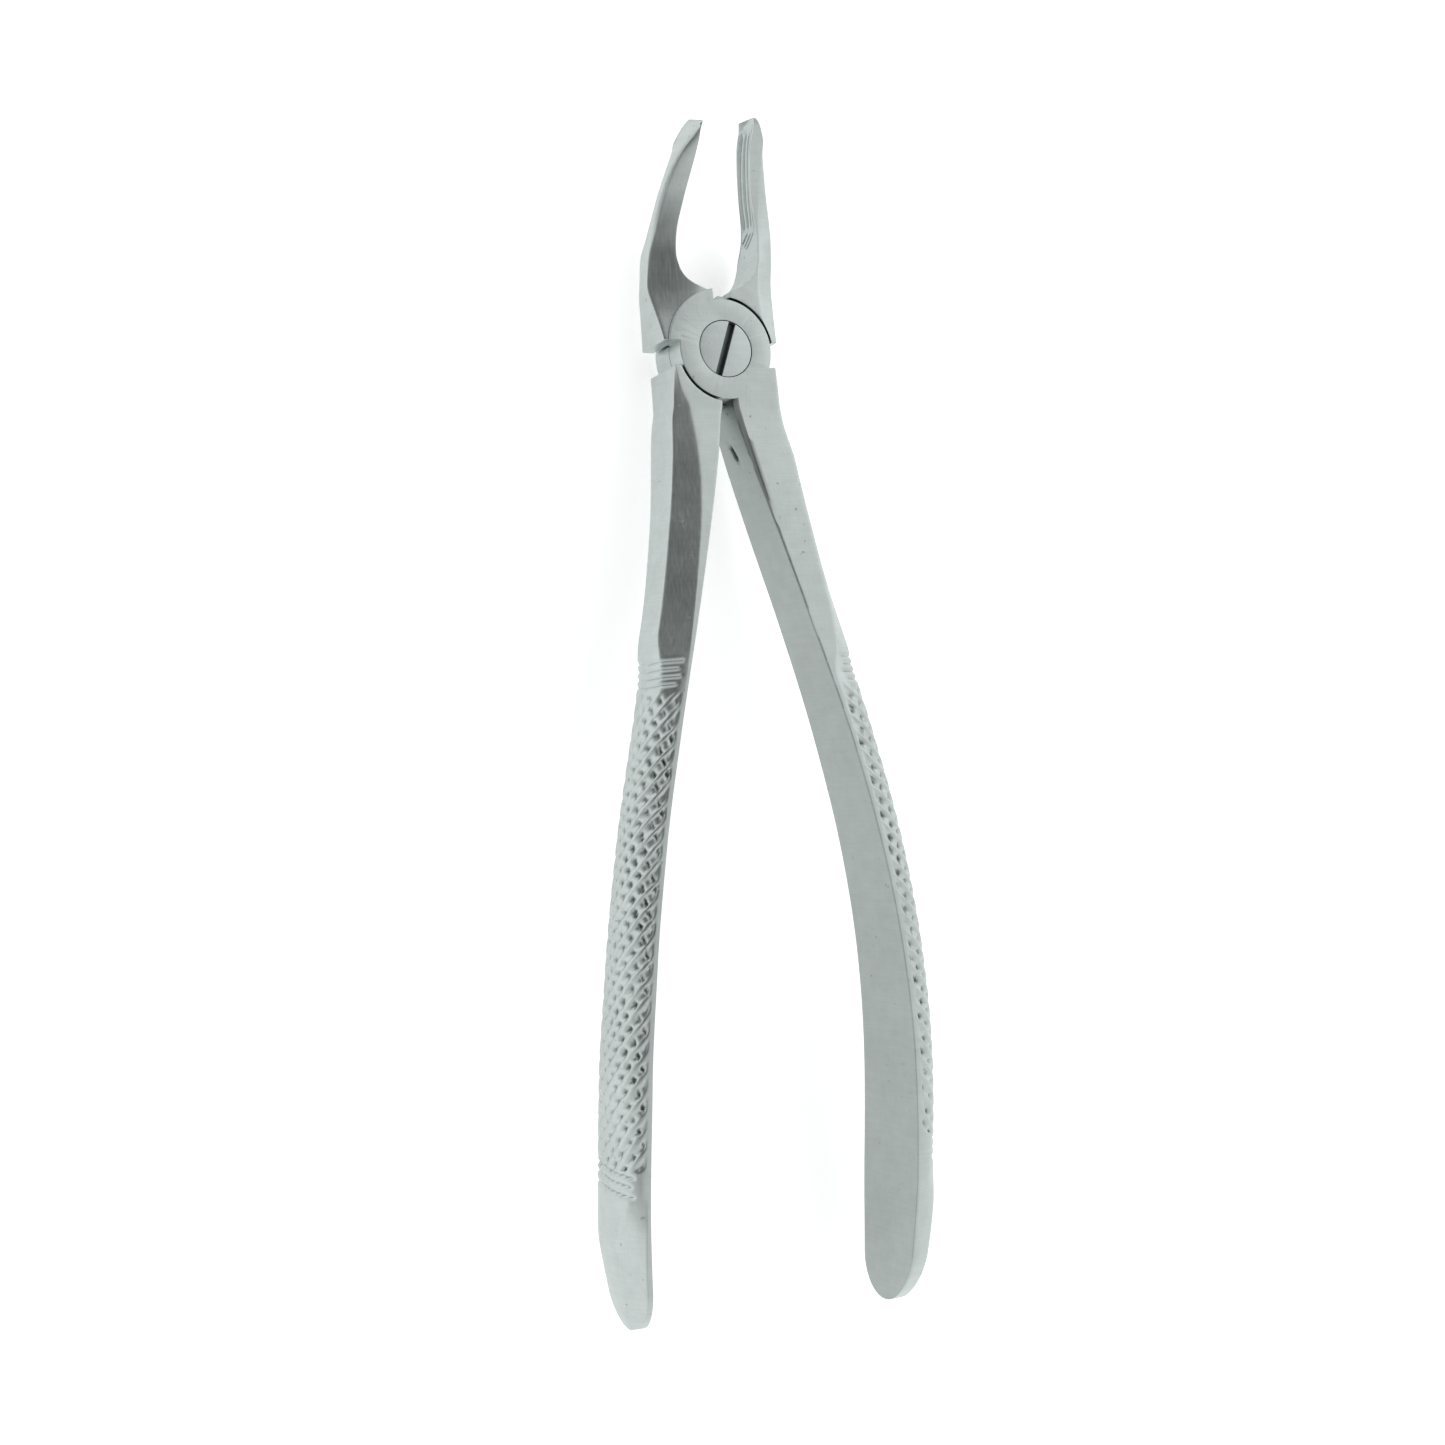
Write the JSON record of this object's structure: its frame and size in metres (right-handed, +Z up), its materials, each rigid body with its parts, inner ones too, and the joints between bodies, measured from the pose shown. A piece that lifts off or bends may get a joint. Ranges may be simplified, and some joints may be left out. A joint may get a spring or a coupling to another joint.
{
  "type": "extraction forceps",
  "caption": "Curved extraction forceps: serrated hollow beaks, a screwed lap joint that opens and closes, and bowed handles with diamond-cut grips.",
  "frame": {"origin": "on the surface that the forceps lie on, under the middle of their bounding box", "axes": "+Y runs from the handle ends to the beak tips, +X to the right seen from above, +Z up; the pivot leans 5.6 degrees from +Z towards the beaks because the curved handles hold the joint at that angle"},
  "size_m": [0.0518, 0.1744, 0.0196],
  "materials": {
    "forged_steel": "satin ground stainless steel",
    "screw_steel": "satin turned stainless steel, flush with the joint"
  },
  "bodies": {
    "rear": {"rear_half": "forged_steel", "pivot_screw": "screw_steel"},
    "front": {"front_half": "forged_steel"}
  },
  "joints": [
    {"name": "pivot", "type": "hinge", "parent": "rear", "child": "front", "pos_m": [-0.00056, 0.0537, 0.00507], "axis": [0, 0.0976, 0.9952], "range_deg": [-13, 20]}
  ]
}
